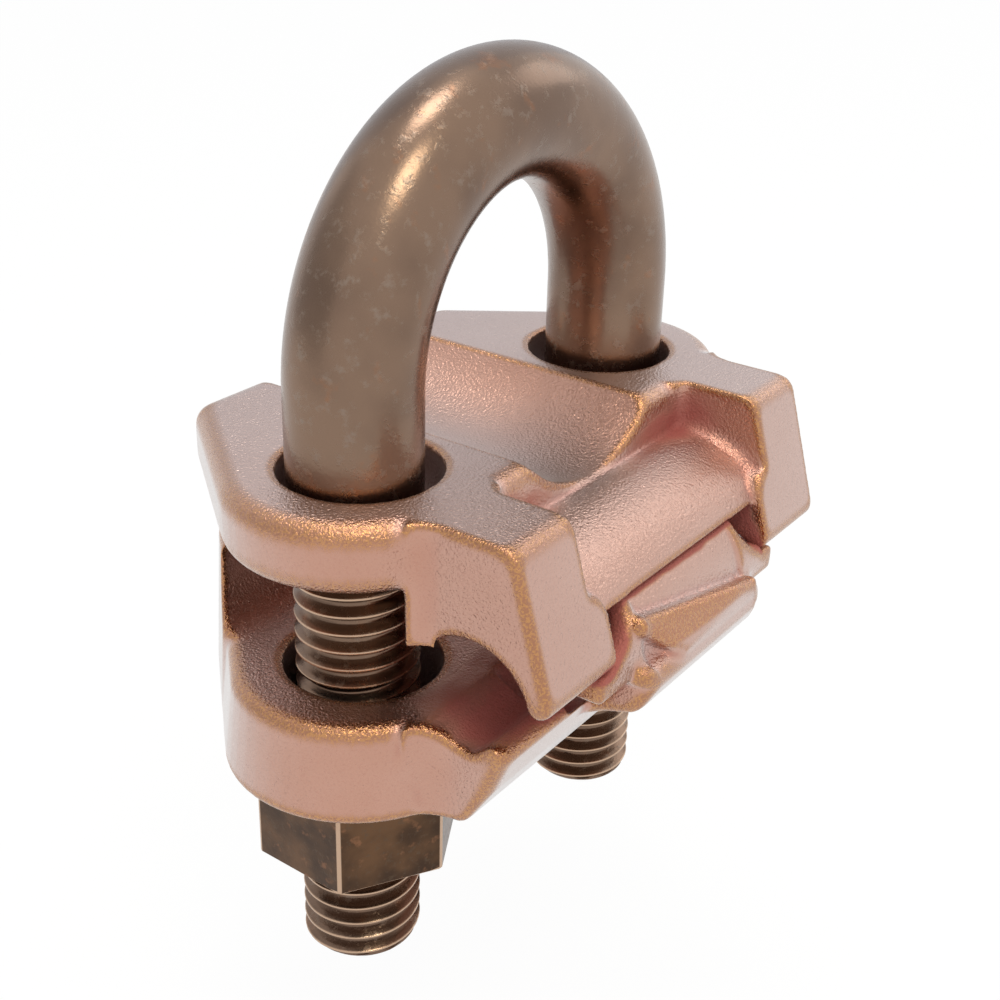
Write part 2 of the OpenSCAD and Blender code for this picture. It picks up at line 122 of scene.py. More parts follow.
class Wire:
    """One socket of a node tree, ready for sums."""

    def __init__(self, tree, socket=None):
        self.tree = tree
        self.socket = socket

    def add(self, kind, settings=None, inputs=None, out=0):
        node = self.tree.nodes.new(kind)
        for name, value in (settings or {}).items():
            setattr(node, name, value)
        for key, value in (inputs or {}).items():
            if isinstance(value, Wire):
                self.tree.links.new(value.socket, node.inputs[key])
            else:
                node.inputs[key].default_value = value
        return Wire(self.tree, node.outputs[out] if node.outputs else None)

    def sum(self, operation, first, second):
        return self.add("ShaderNodeMath", {"operation": operation}, {0: first, 1: second})

    def __add__(self, other):
        return self.sum("ADD", self, other)

    def __radd__(self, other):
        return self.sum("ADD", other, self)

    def __sub__(self, other):
        return self.sum("SUBTRACT", self, other)

    def __rsub__(self, other):
        return self.sum("SUBTRACT", other, self)

    def __mul__(self, other):
        return self.sum("MULTIPLY", self, other)

    def __rmul__(self, other):
        return self.sum("MULTIPLY", other, self)

    def larger(self, other):
        return self.sum("MAXIMUM", self, other)

    def between(self, low, high):
        """0 below low, 1 above high, and smooth in between."""
        return self.add("ShaderNodeMapRange", {"interpolation_type": "SMOOTHSTEP"},
                        {"Value": self, "From Min": low, "From Max": high})

    def tint(self, colour, other):
        """One colour where this is 0, the other where it is 1."""
        return self.add("ShaderNodeMix", {"data_type": "RGBA"}, {0: self, 6: colour, 7: other}, 2)

    def noise(self, scale, detail=2.0, roughness=0.5):
        return self.add("ShaderNodeTexNoise", None, {
            "Vector": self, "Scale": scale, "Detail": detail, "Roughness": roughness})


print("sockets can be summed: 1 - mask, 0.3 + 0.2 * grain")

# %% [markdown]
# The room is a white studio. The world is white at a strength of 1 for every ray, so metal shows the
# same white that the camera sees, and a colour renders about as it is written. The floor is white too
# and lies below the legs' ends, and a small share of it stays plain white paint, which keeps a soft
# shadow.

# %% Room and floor
WHITE = (1, 1, 1, 1)
FLOOR_WHITE = (0.9, 0.9, 0.9, 1)
FLOOR_HALF = 3.0
FLOOR_DROP = 0.018
FLOOR_SHADE = 0.06


def empty_material(name):
    material = bpy.data.materials.new(name)
    material.use_nodes = True
    material.node_tree.nodes.clear()
    return material, Wire(material.node_tree)


def make_square(name, half, height=0.0):
    """A level square with no finish yet."""
    corners = ((-half, -half), (half, -half), (half, half), (-half, half))
    mesh = bpy.data.meshes.new(name)
    mesh.from_pydata([(x, y, height) for x, y in corners], [], [(0, 1, 2, 3)])
    square = bpy.data.objects.new(name, mesh)
    bpy.context.scene.collection.objects.link(square)
    return square


def make_world():
    world = bpy.data.worlds.new("white_room")
    bpy.context.scene.world = world
    world.use_nodes = True
    world.node_tree.nodes.clear()
    room = Wire(world.node_tree)
    light = room.add("ShaderNodeBackground", None, {"Color": WHITE, "Strength": 1.0})
    room.add("ShaderNodeOutputWorld", None, {"Surface": light})


def make_floor():
    height = cad_box[0][2] - FLOOR_DROP
    floor = make_square("studio_floor", FLOOR_HALF, height)
    paint, start = empty_material("floor_paint")
    matt = start.add("ShaderNodeBsdfDiffuse", None, {"Color": FLOOR_WHITE})
    white = start.add("ShaderNodeEmission", None, {"Color": WHITE, "Strength": 1.0})
    ray = start.add("ShaderNodeLightPath", None, None, "Is Camera Ray")
    glossy = Wire(start.tree, ray.socket.node.outputs["Is Glossy Ray"])
    through = Wire(start.tree, ray.socket.node.outputs["Is Transmission Ray"])
    seen = ray.larger(glossy).larger(through) * (1 - FLOOR_SHADE)
    mixed = start.add("ShaderNodeMixShader", None, {0: seen, 1: matt, 2: white})
    start.add("ShaderNodeOutputMaterial", None, {"Surface": mixed})
    floor.data.materials.append(paint)
    return height


make_world()
print("floor at z =", make_floor())

# %% [markdown]
# Three softboxes light the part, and the smooth bar works as a light probe that says where they hang.
# The bright double streak on the left of its bend shows a warm one high in front and a second one
# overhead, and the pale back of the bend shows a weaker one on the right. They also gild every cast
# edge that is tilted half way between the camera and a box. One grey card stands behind on the left
# and one behind on the right, out of the camera's sight, so that the left sides and the level faces
# have something darker than the white room to show.

# %% Softboxes and cards
# Each row gives a name, the azimuth and elevation in degrees, the distance and width in metres, and
# what it shines with: radiance and colour for a softbox, colour alone for a card.
SOFTBOXES = (
    ("warm_softbox", -35, 60, 0.6, 0.19, 8.4, (1.0, 0.96, 0.78)),
    ("overhead_softbox", 138, 82, 0.6, 0.20, 7.8, (1.0, 0.97, 0.90)),
    ("right_softbox", 74, 33, 0.7, 0.32, 1.2, (1.0, 1.0, 0.98)),
)
CARDS = (
    ("left_card", -135, 8, 1.2, 1.7, (0.72, 0.72, 0.72)),
    ("back_card", 138, 26, 1.2, 1.3, (0.74, 0.76, 0.80)),
)


def hang(thing, azimuth, elevation, distance):
    """Puts a lamp or card where it looks at the part."""
    way = direction(azimuth, elevation)
    thing.location = way * distance
    thing.rotation_euler = way.to_track_quat("Z", "Y").to_euler()


def make_softbox(name, azimuth, elevation, distance, size, radiance, colour):
    lamp = bpy.data.lights.new(name, "AREA")
    lamp.shape = "DISK"
    lamp.size = size
    lamp.energy = radiance * math.pi * math.pi * (size / 2) ** 2
    lamp.color = colour
    box = bpy.data.objects.new(name, lamp)
    hang(box, azimuth, elevation, distance)
    bpy.context.scene.collection.objects.link(box)
    print(name, round(lamp.energy, 3), "W")


def make_card(name, azimuth, elevation, distance, size, colour):
    card = make_square(name, size / 2)
    hang(card, azimuth, elevation, distance)
    card.visible_camera = False
    card.visible_shadow = False
    paint, start = empty_material(name)
    glow = start.add("ShaderNodeEmission", None, {"Color": (*colour, 1), "Strength": 1.0})
    start.add("ShaderNodeOutputMaterial", None, {"Surface": glow})
    card.data.materials.append(paint)


for row in SOFTBOXES:
    make_softbox(*row)
for row in CARDS:
    make_card(*row)

# %% [markdown]
# Sand-cast bronze has a skin of fine grain from the mould, pink where it faces the eye and pale where
# the light grazes it. The grain is two noises, one for the sand and one for the pits between the
# grains. They go into the bump and, a little, into colour and roughness. Vertex values that we measure
# later say where the skin changes. On ridges, edge is high, and the skin is rubbed to a brown metal
# with gold glints painted on its grain. A value on the keeper's fin marks a painted highlight there, in
# brown and gold. In corners, hollow is high, and in places that are shut in, recess is high, and there
# the colour is painted shade in deep red; in the shut-in places the metal is also a dull oxide that
# hardly shines. On the walls of the leg holes, bore is high, and the painted shade is grey. This cell
# mixes those colours.

# %% Cast colours
COPPER = (0.535, 0.280, 0.200, 1)
PALE_COPPER = (0.565, 0.310, 0.230, 1)
RUBBED_BROWN = (0.35, 0.155, 0.070, 1)
# The painted highlight on the keeper's fin.
FIN_HIGHLIGHT_BROWN = (0.48, 0.180, 0.080, 1)
# Gold of the painted glints on the grain of ridges and the fin.
PAINTED_GLINT_GOLD = (0.62, 0.320, 0.120, 1)
# Deep red: the painted shade in corners and recesses, and the colour of the grain's specks.
SHADE_AND_SPECK_RED = (0.35, 0.096, 0.082, 1)
# The painted shade on the walls of the leg holes.
BORE_SHADE_GREY = (0.210, 0.168, 0.172, 1)
SAND_SCALE, PIT_SCALE, TONE_SCALE = 3000, 4400, 70
EDGE_LEVELS = (0.15, 0.8)
HOLLOW_LEVELS = (0.1, 0.8)
RECESS_LEVELS = (0.24, 0.50)
SHUT_LEVELS = (0.18, 0.43)
TONE_LEVELS = (0.35, 0.65)
GLINT_LEVELS = (0.45, 0.60)
SPECK_LEVELS = (0.52, 0.70)
HOLLOW_SHADE_SHARE, SPECK_SHARE = 0.35, 0.12
WORN_SHARE, FIN_HIGHLIGHT_SHARE, PAINTED_GLINT_SHARE = 0.65, 0.6, 0.6
RECESS_SHADE_SHARE = 0.9


def vertex_value(place, name):
    return place.add("ShaderNodeAttribute", {"attribute_name": name}, None, "Fac")


def cast_masks(place):
    """The values between 0 and 1 that steer the cast finish."""
    sand = place.noise(SAND_SCALE, 2.0, 0.6)
    pits = place.noise(PIT_SCALE, 1.0, 0.5)
    bore = vertex_value(place, "bore")
    fin_highlight = vertex_value(place, "fin_highlight")
    # Worn ridges, joined by the fin's painted highlight.
    wear_and_fin_highlight = vertex_value(place, "edge").between(*EDGE_LEVELS).larger(fin_highlight)
    recess = vertex_value(place, "recess")
    return {
        "sand": sand,
        "pits": pits,
        "bore": bore,
        "fin_highlight": fin_highlight,
        "wear_and_fin_highlight": wear_and_fin_highlight,
        "glint": wear_and_fin_highlight * pits.between(*GLINT_LEVELS),
        "hollow": vertex_value(place, "hollow").between(*HOLLOW_LEVELS),
        "recess": bore.larger(recess.between(*RECESS_LEVELS)),
        "shut": bore.larger(recess.between(*SHUT_LEVELS)),
    }


def cast_colour(place, mask):
    speck = mask["pits"].between(*SPECK_LEVELS)
    skin = place.noise(TONE_SCALE, 3.0).between(*TONE_LEVELS).tint(COPPER, PALE_COPPER)
    # Painted shade: corners are darkened toward deep red.
    skin = (mask["hollow"] * HOLLOW_SHADE_SHARE).tint(skin, SHADE_AND_SPECK_RED)
    skin = (speck * SPECK_SHARE).tint(skin, SHADE_AND_SPECK_RED)
    skin = (mask["wear_and_fin_highlight"] * WORN_SHARE).tint(skin, RUBBED_BROWN)
    # Painted highlight on the keeper's fin.
    skin = (mask["fin_highlight"] * FIN_HIGHLIGHT_SHARE).tint(skin, FIN_HIGHLIGHT_BROWN)
    # Painted glints: gold on the grain of ridges and the fin.
    skin = (mask["glint"] * PAINTED_GLINT_SHARE).tint(skin, PAINTED_GLINT_GOLD)
    # Painted shade: places that are shut in are darkened toward deep red.
    skin = (mask["recess"] * RECESS_SHADE_SHARE).tint(skin, SHADE_AND_SPECK_RED)
    # Painted shade: the walls of the leg holes turn grey.
    return mask["bore"].tint(skin, BORE_SHADE_GREY)


print("cast colours go from", COPPER[:3], "to", SHADE_AND_SPECK_RED[:3])

# %% [markdown]
# The colour then goes into a metal shader that loses its metal where the oxide is. The fine points of
# the grain give open faces a pale sheen at a glancing angle. One metal can't do both, so a second, pale
# metal is mixed in by Layer Weight, which is 0 where a face looks at the eye and 1 at its rim. Shut-in
# places, worn ridges and the fin with its painted highlight get less of it.

# %% Cast finish
GRAZED = (0.760, 0.740, 0.730, 1)
SAND_HEIGHT, PIT_HEIGHT = 0.7, 0.3
CAST_BUMP = 0.19 * MM
CAST_ROUGH, SAND_ROUGH, GLINT_SMOOTH, OXIDE_ROUGH = 0.25, 0.08, 0.06, 0.3
OXIDE_DULL = 0.85
CAST_SPECULAR = 0.15
CAST_COAT = 0.4
COAT_ROUGH, COAT_IOR = 0.3, 1.5
WORN_SHEEN_LOSS = 0.6


def start_finish(name):
    material, start = empty_material(name)
    return material, start.add("ShaderNodeTexCoord", None, None, "Object")


def cast_finish():
    material, place = start_finish("sand_cast_bronze")
    mask = cast_masks(place)
    sand, recess, wear_and_fin_highlight = mask["sand"], mask["recess"], mask["wear_and_fin_highlight"]
    bump = place.add("ShaderNodeBump", None, {
        "Strength": 1.0, "Distance": CAST_BUMP, "Height": sand * SAND_HEIGHT + mask["pits"] * PIT_HEIGHT})
    rough = CAST_ROUGH + SAND_ROUGH * sand - GLINT_SMOOTH * mask["glint"] + OXIDE_ROUGH * recess
    cast = place.add("ShaderNodeBsdfPrincipled", None, {
        "Base Color": cast_colour(place, mask),
        "Metallic": 1 - OXIDE_DULL * recess,
        "Roughness": rough,
        "Normal": bump,
        "Coat Weight": CAST_COAT * (1 - recess) * (1 - wear_and_fin_highlight),
        "Coat Roughness": COAT_ROUGH,
        "Coat IOR": COAT_IOR,
        "Specular IOR Level": CAST_SPECULAR,
    })
    pale = place.add("ShaderNodeBsdfPrincipled", None, {
        "Base Color": GRAZED,
        "Metallic": 1.0,
        "Roughness": rough,
        "Normal": bump,
    })
    facing = place.add("ShaderNodeLayerWeight", None, {"Blend": 0.5}, "Facing")
    sheen = facing * facing * (1 - mask["shut"]) * (1 - WORN_SHEEN_LOSS * wear_and_fin_highlight)
    mixed = place.add("ShaderNodeMixShader", None, {0: sheen, 1: cast, 2: pale})
    place.add("ShaderNodeOutputMaterial", None, {"Surface": mixed})
    return material


CAST = cast_finish()
print("finish:", CAST.name, len(CAST.node_tree.nodes), "nodes")

# %% [markdown]
# The bar is drawn bronze that has gone brown in store. Its patina is a slow drift of tone, small grey
# clouds and a few rusty freckles, each a noise cut off at a level. The thread's crests are painted
# bright, partly wear from the nuts and partly a painted highlight. A vertex value, 1 on a crest and 0
# in the root, paints that, and painted shade darkens the roots. The nuts get the same patina, only
# darker, duller and finer, and a painted highlight along their edges.

# %% Bar finish
BROWN = (0.235, 0.148, 0.100, 1)
DARK_BROWN = (0.165, 0.102, 0.070, 1)
GREY_CLOUD = (0.290, 0.225, 0.180, 1)
RUST = (0.300, 0.130, 0.060, 1)
# Bright crests and nut edges: partly wear, partly a painted highlight.
BRIGHT_CREST = (0.560, 0.380, 0.260, 1)
# Painted shade in the thread's roots.
ROOT_SHADE = (0.150, 0.090, 0.058, 1)
NUT_DARK = (0.050, 0.022, 0.008, 1)
NUT_BROWN = (0.135, 0.064, 0.026, 1)
NUT_CLOUD = (0.120, 0.074, 0.042, 1)
DRIFT_SCALE, CLOUD_SCALE, RUST_SCALE, FINE_SCALE = 90, 650, 330, 2600
DRIFT_LEVELS = (0.35, 0.68)
CLOUD_LEVELS = (0.53, 0.72)
RUST_LEVELS = (0.58, 0.74)
CREST_LEVELS = (0.88, 1.0)
CLOUD_SHARE, RUST_SHARE, ROOT_SHADE_SHARE = 0.55, 0.5, 0.5
FINE_HEIGHT, CLOUD_HEIGHT = 0.5, 0.5
BAR_BUMP, BAR_BUMP_STRENGTH = 0.08 * MM, 0.3
CLOUD_ROUGH, FINE_ROUGH = 0.14, 0.06
BAR_COAT = 0.35


def bar_finish(name, dark, light, cloud_colour, crest_share, rough, fineness):
    material, place = start_finish(name)
    drift = place.noise(DRIFT_SCALE * fineness, 3.0).between(*DRIFT_LEVELS)
    cloud = place.noise(CLOUD_SCALE * fineness, 4.0, 0.68).between(*CLOUD_LEVELS)
    rust = place.noise(RUST_SCALE * fineness, 3.0, 0.6).between(*RUST_LEVELS)
    fine = place.noise(FINE_SCALE, 2.0)
    crest = vertex_value(place, "wear_and_highlight").between(*CREST_LEVELS)
    skin = drift.tint(dark, light)
    skin = (cloud * CLOUD_SHARE).tint(skin, cloud_colour)
    skin = (rust * RUST_SHARE).tint(skin, RUST)
    # Painted shade darkens the thread's roots.
    skin = (vertex_value(place, "root") * ROOT_SHADE_SHARE).tint(skin, ROOT_SHADE)
    bump = place.add("ShaderNodeBump", None, {
        "Strength": BAR_BUMP_STRENGTH, "Distance": BAR_BUMP,
        "Height": fine * FINE_HEIGHT + cloud * CLOUD_HEIGHT})
    # The crests and the nut's edges are painted bright: partly wear, partly a painted highlight.
    shader = place.add("ShaderNodeBsdfPrincipled", None, {
        "Base Color": (crest * crest_share).tint(skin, BRIGHT_CREST),
        "Metallic": 1.0,
        "Roughness": rough + CLOUD_ROUGH * cloud + FINE_ROUGH * fine,
        "Normal": bump,
        "Coat Weight": BAR_COAT,
        "Coat Roughness": COAT_ROUGH,
        "Coat IOR": COAT_IOR,
    })
    place.add("ShaderNodeOutputMaterial", None, {"Surface": shader})
    return material


BAR = bar_finish("brown_bar_bronze", DARK_BROWN, BROWN, GREY_CLOUD,
                 crest_share=0.9, rough=0.22, fineness=1.0)
NUT = bar_finish("dark_nut_bronze", NUT_DARK, NUT_BROWN, NUT_CLOUD,
                 crest_share=1.0, rough=0.36, fineness=2.2)
print("finishes:", BAR.name, NUT.name)

# %% [markdown]
# The bar and the nuts are skins stretched over rings of points, so one helper turns points and faces
# into a mesh. It welds what falls on one spot, which lets the thread end on a flat ring, and it keeps
# a value for each point, so that a finish can find the crests.

# %% Rings to mesh
WELD_REACH = 2e-6


def weld(points, faces, values):
    """Joins points that fall together and drops the faces that this leaves without area."""
    keys = np.round(points / WELD_REACH).astype(np.int64)
    _, first, back = np.unique(keys, axis=0, return_index=True, return_inverse=True)
    back = back.reshape(-1)
    kept = []
    for face in faces:
        loop = [back[i] for i in face]
        loop = [a for i, a in enumerate(loop) if a != loop[i - 1]]
        if len(set(loop)) == len(loop) >= 3:
            kept.append(loop)
    used = np.unique(np.concatenate([np.array(f) for f in kept]))
    place = np.full(len(first), -1)
    place[used] = np.arange(len(used))
    return points[first[used]], [[int(place[i]) for i in f] for f in kept], {
        k: v[first[used]] for k, v in values.items()}


def store_values(mesh, values):
    for key, value in values.items():
        layer = mesh.attributes.new(key, "FLOAT", "POINT")
        layer.data.foreach_set("value", value.astype(np.float32))


def mesh_from(name, points, faces, values):
    points, faces, values = weld(points, faces, values)
    mesh = bpy.data.meshes.new(name)
    mesh.from_pydata(points.tolist(), [], faces)
    store_values(mesh, values)
    mesh.validate()
    mesh.update()
    return mesh


def ring_faces(first, ring_count, columns):
    """Quads between level rings, the first of which starts at point first."""
    faces = []
    for i in range(ring_count - 1):
        a, b = first + i * columns, first + (i + 1) * columns
        for j in range(columns):
            k = (j + 1) % columns
            faces.append([a + j, a + k, b + k, b + j])
    return faces


def link_piece(name, mesh, finish, smooth_angle):
    for face in mesh.polygons:
        face.use_smooth = True
    mesh.set_sharp_from_angle(angle=math.radians(smooth_angle))
    piece = bpy.data.objects.new(name, mesh)
    bpy.context.scene.collection.objects.link(piece)
    mesh.materials.append(finish)
    return piece


print("points closer than", WELD_REACH / MM, "mm are welded")

# %% [markdown]
# The thread is a half inch one with 13 turns to the inch. A grid of level rings would cut across the
# crests and leave them ragged, so the grid is sheared: each row climbs one pitch on its way round, and
# each column meets the next turn where the row ends. Rows that run past an end are pressed flat onto
# it. Near both ends the groove fades out, as it does where a die runs off the bar.

# %% Thread
PITCH = 25.4 / 13 * MM
THREAD_R = 6.25 * MM
THREAD_DEPTH = 0.6 * PITCH
# Each step is a share of the pitch and how high the thread is there, from 0 in the root to 1 on the crest.
CREST_STEPS = (
    (0.0, 1.0), (0.05, 0.985), (0.085, 0.90), (0.20, 0.52), (0.32, 0.12), (0.40, 0.02), (0.5, 0.0),
    (0.60, 0.02), (0.68, 0.12), (0.80, 0.52), (0.915, 0.90), (0.95, 0.985),
)
STEPS_PER_TURN = len(CREST_STEPS)


def smoothstep(x):
    x = np.clip(x, 0, 1)
    return x * x * (3 - 2 * x)


def thread_sheet(angles, top, bottom, fade_top, fade_bottom, crest_r):
    """Rows of (radius, height, crest value) of a right-hand thread, from the top down."""
    turns = int(math.ceil((top - bottom) / PITCH)) + 3
    rows = []
    for turn in range(turns, -2, -1):
        for part, lift in reversed(CREST_STEPS):
            height = bottom + PITCH * (turn - 1 + part + angles / math.tau)
            keep = smoothstep((top - height) / fade_top) * smoothstep((height - bottom) / fade_bottom)
            level = 1 - (1 - lift) * keep
            radius = crest_r - THREAD_DEPTH * (1 - level)
            rows.append((radius, np.clip(height, bottom, top), level))
    return rows


def sheet_faces(row_count, column_count, first=0, flip=False):
    """Quads of a sheared sheet whose last column meets its first one a turn higher up."""
    faces = []
    for i in range(row_count - 1):
        for j in range(column_count):
            if j < column_count - 1:
                a, b = (i, j), (i, j + 1)
                c, d = (i + 1, j + 1), (i + 1, j)
            else:
                up, low = i - STEPS_PER_TURN, i + 1 - STEPS_PER_TURN
                if up < 0:
                    continue
                a, b, c, d = (i, j), (up, 0), (low, 0), (i + 1, j)
            face = [first + r * column_count + k for r, k in (a, b, c, d)]
            faces.append(face[::-1] if flip else face)
    return faces


print("pitch", round(PITCH / MM, 3), "mm,", STEPS_PER_TURN, "rows to a turn")

# %% [markdown]
# The U-bolt is drawn in two kinds of rows. A leg is a sheet of thread that narrows to a bevel at its cut
# end. The smooth part is a stack of rings that climbs the far leg, follows the half circle of the bend
# and comes down the near leg. The legs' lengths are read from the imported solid, where the near leg is a
# little shorter.

# %% Rows of the U-bolt
BAR_R = 6.6 * MM
LEG_X = 21.8 * MM
BEND_RISE = 7.88 * MM
SMOOTH_END = -6.0 * MM
THREAD_TOP = SMOOTH_END - (BAR_R - THREAD_R)
LEG_BEVEL = 0.8 * MM
LEG_FADE_TOP, LEG_FADE_BOTTOM = 1.2 * PITCH, 0.5 * PITCH
LEG_STEPS, BEND_STEPS = 8, 80


def read_vectors(mesh, name):
    """The places or normals of a mesh's points, one row each."""
    values = np.empty(len(mesh.vertices) * 3)
    mesh.vertices.foreach_get(name, values)
    return values.reshape(-1, 3)


def leg_rows(side, angles):
    """Points and crest values of one threaded leg, from its smooth end down to its cut end."""
    solid = read_vectors(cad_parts["u_bolt"].data, "co")
    bottom = solid[solid[:, 0] * side > 0, 2].min()
    points, crest = [], []
    for radius, height, level in thread_sheet(
            angles, THREAD_TOP, bottom, LEG_FADE_TOP, LEG_FADE_BOTTOM, THREAD_R):
        radius = np.minimum(radius, THREAD_R - LEG_BEVEL + (height - bottom))
        points.append(np.column_stack(
            (side * LEG_X + radius * np.cos(angles), radius * np.sin(angles), height)))
        crest.append(level)
    return points, crest


def smooth_leg(side, angles):
    """Rings of the smooth part of a leg, from the thread up to the bend."""
    stations = [(THREAD_R, THREAD_TOP)]
    stations += [(BAR_R, z) for z in np.linspace(SMOOTH_END, BEND_RISE, LEG_STEPS)[:-1]]
    return [np.column_stack((side * (LEG_X + r * np.cos(angles)), r * np.sin(angles),
                             np.full(len(angles), z))) for r, z in stations]


def bend_rows(angles):
    """Rings of the smooth bar, from the far leg over the bend to the near leg."""
    rows = smooth_leg(1, angles)
    for t in np.linspace(0, math.pi, BEND_STEPS + 1):
        out = np.array((math.cos(t), 0, math.sin(t)))
        centre = LEG_X * out + np.array((0, 0, BEND_RISE))
        rows.append(centre + BAR_R * (np.outer(np.cos(angles), out) + np.outer(np.sin(angles), (0, 1, 0))))
    return rows + smooth_leg(-1, angles)[::-1]


print("bar", round(2 * BAR_R / MM, 1), "mm thick, legs", round(2 * LEG_X / MM, 1), "mm apart")

# %% [markdown]
# The real U-bolt is one bar, so it is one mesh: both threads and the bend share the same columns of
# points and are welded where they meet. The crest values go along, so that the finish can paint the
# crests bright, partly wear and partly a painted highlight, and darken the roots with painted shade.

# %% U-bolt
COLUMNS = 72
BAR_SMOOTH = 40
THREAD_MARGIN = 1e-7


def make_u_bolt():
    angles = np.arange(COLUMNS) * math.tau / COLUMNS
    points, crest, faces = [], [], []
    for side in (1, -1):
        rows, level = leg_rows(side, angles)
        first = len(points) * COLUMNS
        faces += sheet_faces(len(rows), COLUMNS, first, flip=True)
        faces.append([first + (len(rows) - 1) * COLUMNS + j for j in reversed(range(COLUMNS))])
        points += rows
        crest += level
    rings = bend_rows(angles)
    faces += ring_faces(len(points) * COLUMNS, len(rings), COLUMNS)
    points += rings
    crest += [np.zeros(COLUMNS)] * len(rings)
    points, crest = np.concatenate(points), np.concatenate(crest)
    threaded = points[:, 2] < THREAD_TOP - THREAD_MARGIN
    # The crests get a bright value, partly wear and partly painted highlight, and the roots get painted
    # shade.
    values = {
        "wear_and_highlight": np.where(threaded, crest, 0.0),
        "root": np.where(threaded, 1 - crest, 0.0),
    }
    mesh = mesh_from("u_bolt_bar", points, faces, values)
    piece = link_piece("u_bolt_bar", mesh, BAR, BAR_SMOOTH)
    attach(piece, "u_bolt")
    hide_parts("u_bolt")
    return piece


u_bolt_bar = make_u_bolt()
print("u_bolt_bar:", len(u_bolt_bar.data.vertices), "points,", len(u_bolt_bar.data.polygons), "faces")

# %% [markdown]
# Painted shade makes the recesses of a casting dark and red, and the metal there is a dull oxide. How
# far a point is recessed can be measured: from it, rays go out to all sides, and the share of them that
# soon meet cast metal is the answer. The bar and nuts came later and don't count. Every few points get
# rays, and the same relaxing that will round the castings spreads these answers to the points between.

# %% Recesses
RECESS_REACH = 14 * MM
RECESS_START = 0.5 * MM
RAY_COUNT = 72
PROBE_STEP = 16
SPREAD_ROUNDS = 40
RELAX_SHARE = 0.5
TINY = 1e-9


def relaxed(points, edges, rounds):
    """Moves each point half way to the middle of its neighbours, again and again."""
    a, b = edges[:, 0], edges[:, 1]
    size = len(points)
    count = np.bincount(edges.ravel(), minlength=size).astype(float)[:, None]
    for _ in range(rounds):
        total = np.column_stack([
            np.bincount(a, points[b, k], size) + np.bincount(b, points[a, k], size) for k in range(3)])
        points = points + RELAX_SHARE * (total / count - points)
    return points


def all_round(count):
    """Directions spread evenly over a ball, on a spiral from pole to pole."""
    step = np.arange(count) + 0.5
    height = 1 - 2 * step / count
    turn = math.pi * (1 + math.sqrt(5)) * step
    wide = np.sqrt(1 - height ** 2)
    return np.column_stack((wide * np.cos(turn), wide * np.sin(turn), height))


def castings_tree():
    """A search tree over the two cast solids as they stand at rest."""
    points, faces = [], []
    for name in ("saddle", "keeper"):
        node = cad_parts[name]
        first = len(points)
        points += [vertex.co.copy() for vertex in node.data.vertices]
        faces += [[first + i for i in face.vertices] for face in node.data.polygons]
    return BVHTree.FromPolygons(points, faces)


RAYS = all_round(RAY_COUNT)
CASTINGS = castings_tree()


def recess_share(points, normals, edges):
    """How much of the room around it each point can't see."""
    ways = [Vector(ray) for ray in RAYS]
    share = np.zeros((len(points), 3))
    for i in range(0, len(points), PROBE_STEP):
        facing = RAYS @ normals[i]
        start = Vector(points[i] + RECESS_START * normals[i])
        ahead = [k for k in range(RAY_COUNT) if facing[k] > 0]
        blocked = [facing[k] for k in ahead
                   if CASTINGS.ray_cast(start, ways[k], RECESS_REACH)[0] is not None]
        share[i] = sum(blocked) / facing[ahead].sum(), 1, 0
    share = relaxed(share, edges, SPREAD_ROUNDS)
    return share[:, 0] / np.maximum(share[:, 1], TINY)


print("cast faces are searched with", RAY_COUNT, "rays")

# %% [markdown]
# The two jaws are sand castings, so no edge on them is sharp and every inside corner is filled a
# little. A bevel on so many edges that run into each other would break, so the solid is copied,
# remeshed into small even squares, and relaxed: each point moves toward its neighbours, which rounds
# ridges and fills corners and leaves flat faces where they are. No point may move further than a set
# limit, so that thin forms like the keeper's fin keep their reach. Where the claws and the keeper's
# finger close up on each other the limit is smaller, and what the remeshing took off is put back on
# the finger, so that no light shows between them.

# %% Rounded castings
VOXEL = 0.25 * MM
RELAX_ROUNDS = 9
SETTLE_ROUNDS = 2
MOVE_LIMIT = 0.18 * MM
CLOSE_LIMIT = 0.05 * MM
CLOSE_FADE = 1.0 * MM
CLOSE_LOW = np.array((9.5, -28, -19.5)) * MM
CLOSE_HIGH = np.array((19, -19, -9)) * MM


def remeshed_copy(node_name, piece_name):
    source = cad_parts[node_name]
    rough = bpy.data.objects.new(piece_name + "_rough", source.data.copy())
    bpy.context.scene.collection.objects.link(rough)
    grid = rough.modifiers.new("even_squares", "REMESH")
    grid.mode = "VOXEL"
    grid.voxel_size = VOXEL
    grid.adaptivity = 0.0
    shown = rough.evaluated_get(bpy.context.evaluated_depsgraph_get())
    mesh = bpy.data.meshes.new_from_object(shown)
    mesh.name = piece_name
    bpy.data.objects.remove(rough)
    return mesh


def close_share(points):
    """One where the two castings close up on each other, at both ends, and zero elsewhere."""
    mirrored = np.column_stack((np.abs(points[:, 0]), points[:, 1], points[:, 2]))
    inward = np.minimum(mirrored - CLOSE_LOW, CLOSE_HIGH - mirrored).min(axis=1, keepdims=True)
    return smoothstep(inward / CLOSE_FADE)


def place_points(mesh, points):
    mesh.vertices.foreach_set("co", points.ravel())
    mesh.update()


def round_off(mesh, edges, grow):
    """Rounds a remeshed copy in place, and gives its points and the normals it was grown along."""
    points = read_vectors(mesh, "co")
    move = relaxed(points, edges, RELAX_ROUNDS) - points
    reach = np.linalg.norm(move, axis=1, keepdims=True)
    close = close_share(points)
    limit = MOVE_LIMIT + close * (CLOSE_LIMIT - MOVE_LIMIT)
    points = points + move * np.minimum(1, limit / np.maximum(reach, TINY))
    points = relaxed(points, edges, SETTLE_ROUNDS)
    place_points(mesh, points)
    normals = read_vectors(mesh, "normal")
    points = points + grow * close * normals
    place_points(mesh, points)
    return points, normals


